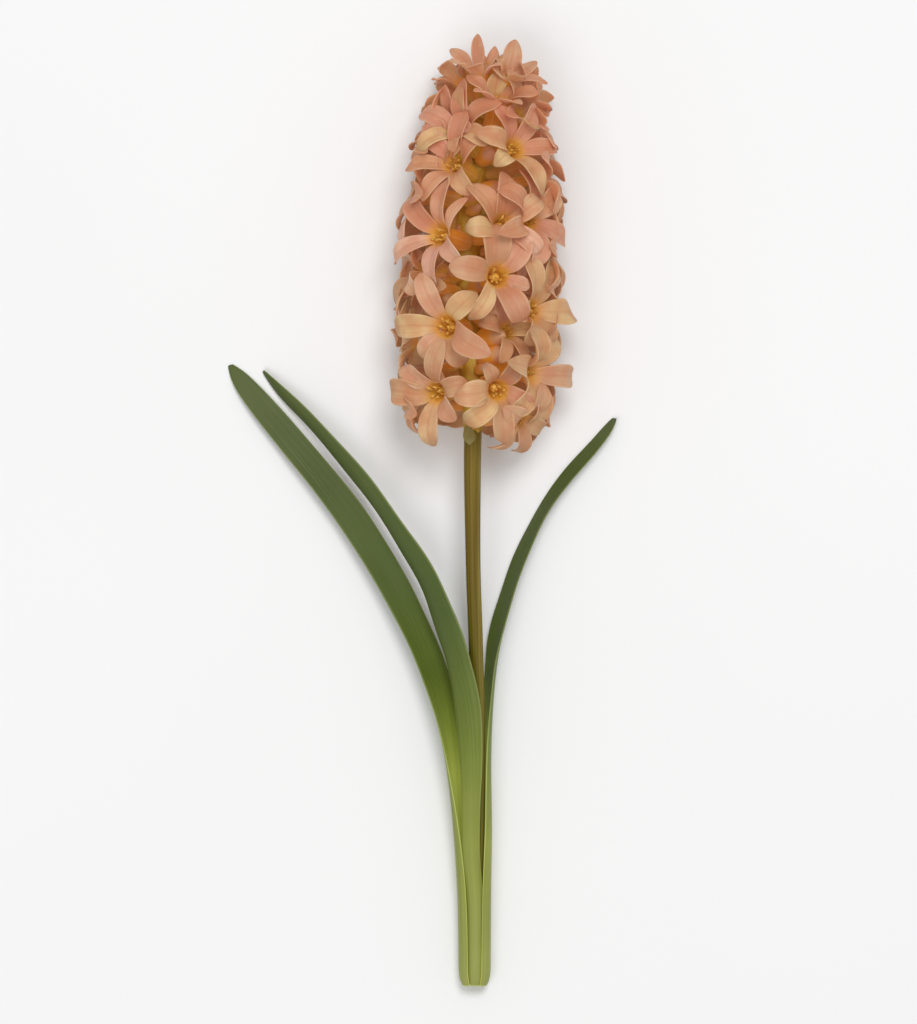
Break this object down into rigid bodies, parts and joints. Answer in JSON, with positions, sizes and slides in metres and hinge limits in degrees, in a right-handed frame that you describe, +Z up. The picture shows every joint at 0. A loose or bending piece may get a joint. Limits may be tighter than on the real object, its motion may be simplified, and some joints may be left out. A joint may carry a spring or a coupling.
{
  "type": "hyacinth flower",
  "caption": "Cut hyacinth lying flat: a dense raceme of peach star-shaped florets on a bare stem, with strap leaves clasping the foot.",
  "frame": {"origin": "centre of the bounding box's footprint, on the table surface the flower lies on", "axes": "+Y from the cut end of the stem to the tip of the bloom, +Z up from the table, +X to the right as seen from above with the bloom pointing away"},
  "size_m": [0.148, 0.3604, 0.0626],
  "materials": {
    "stem": "satin",
    "leaf": "satin",
    "petal": "matte"
  },
  "bodies": {
    "root": {"stem": "stem", "leaf_front": "leaf", "leaf_left": "leaf", "leaf_right": "leaf", "bloom": "petal"}
  },
  "joints": []
}
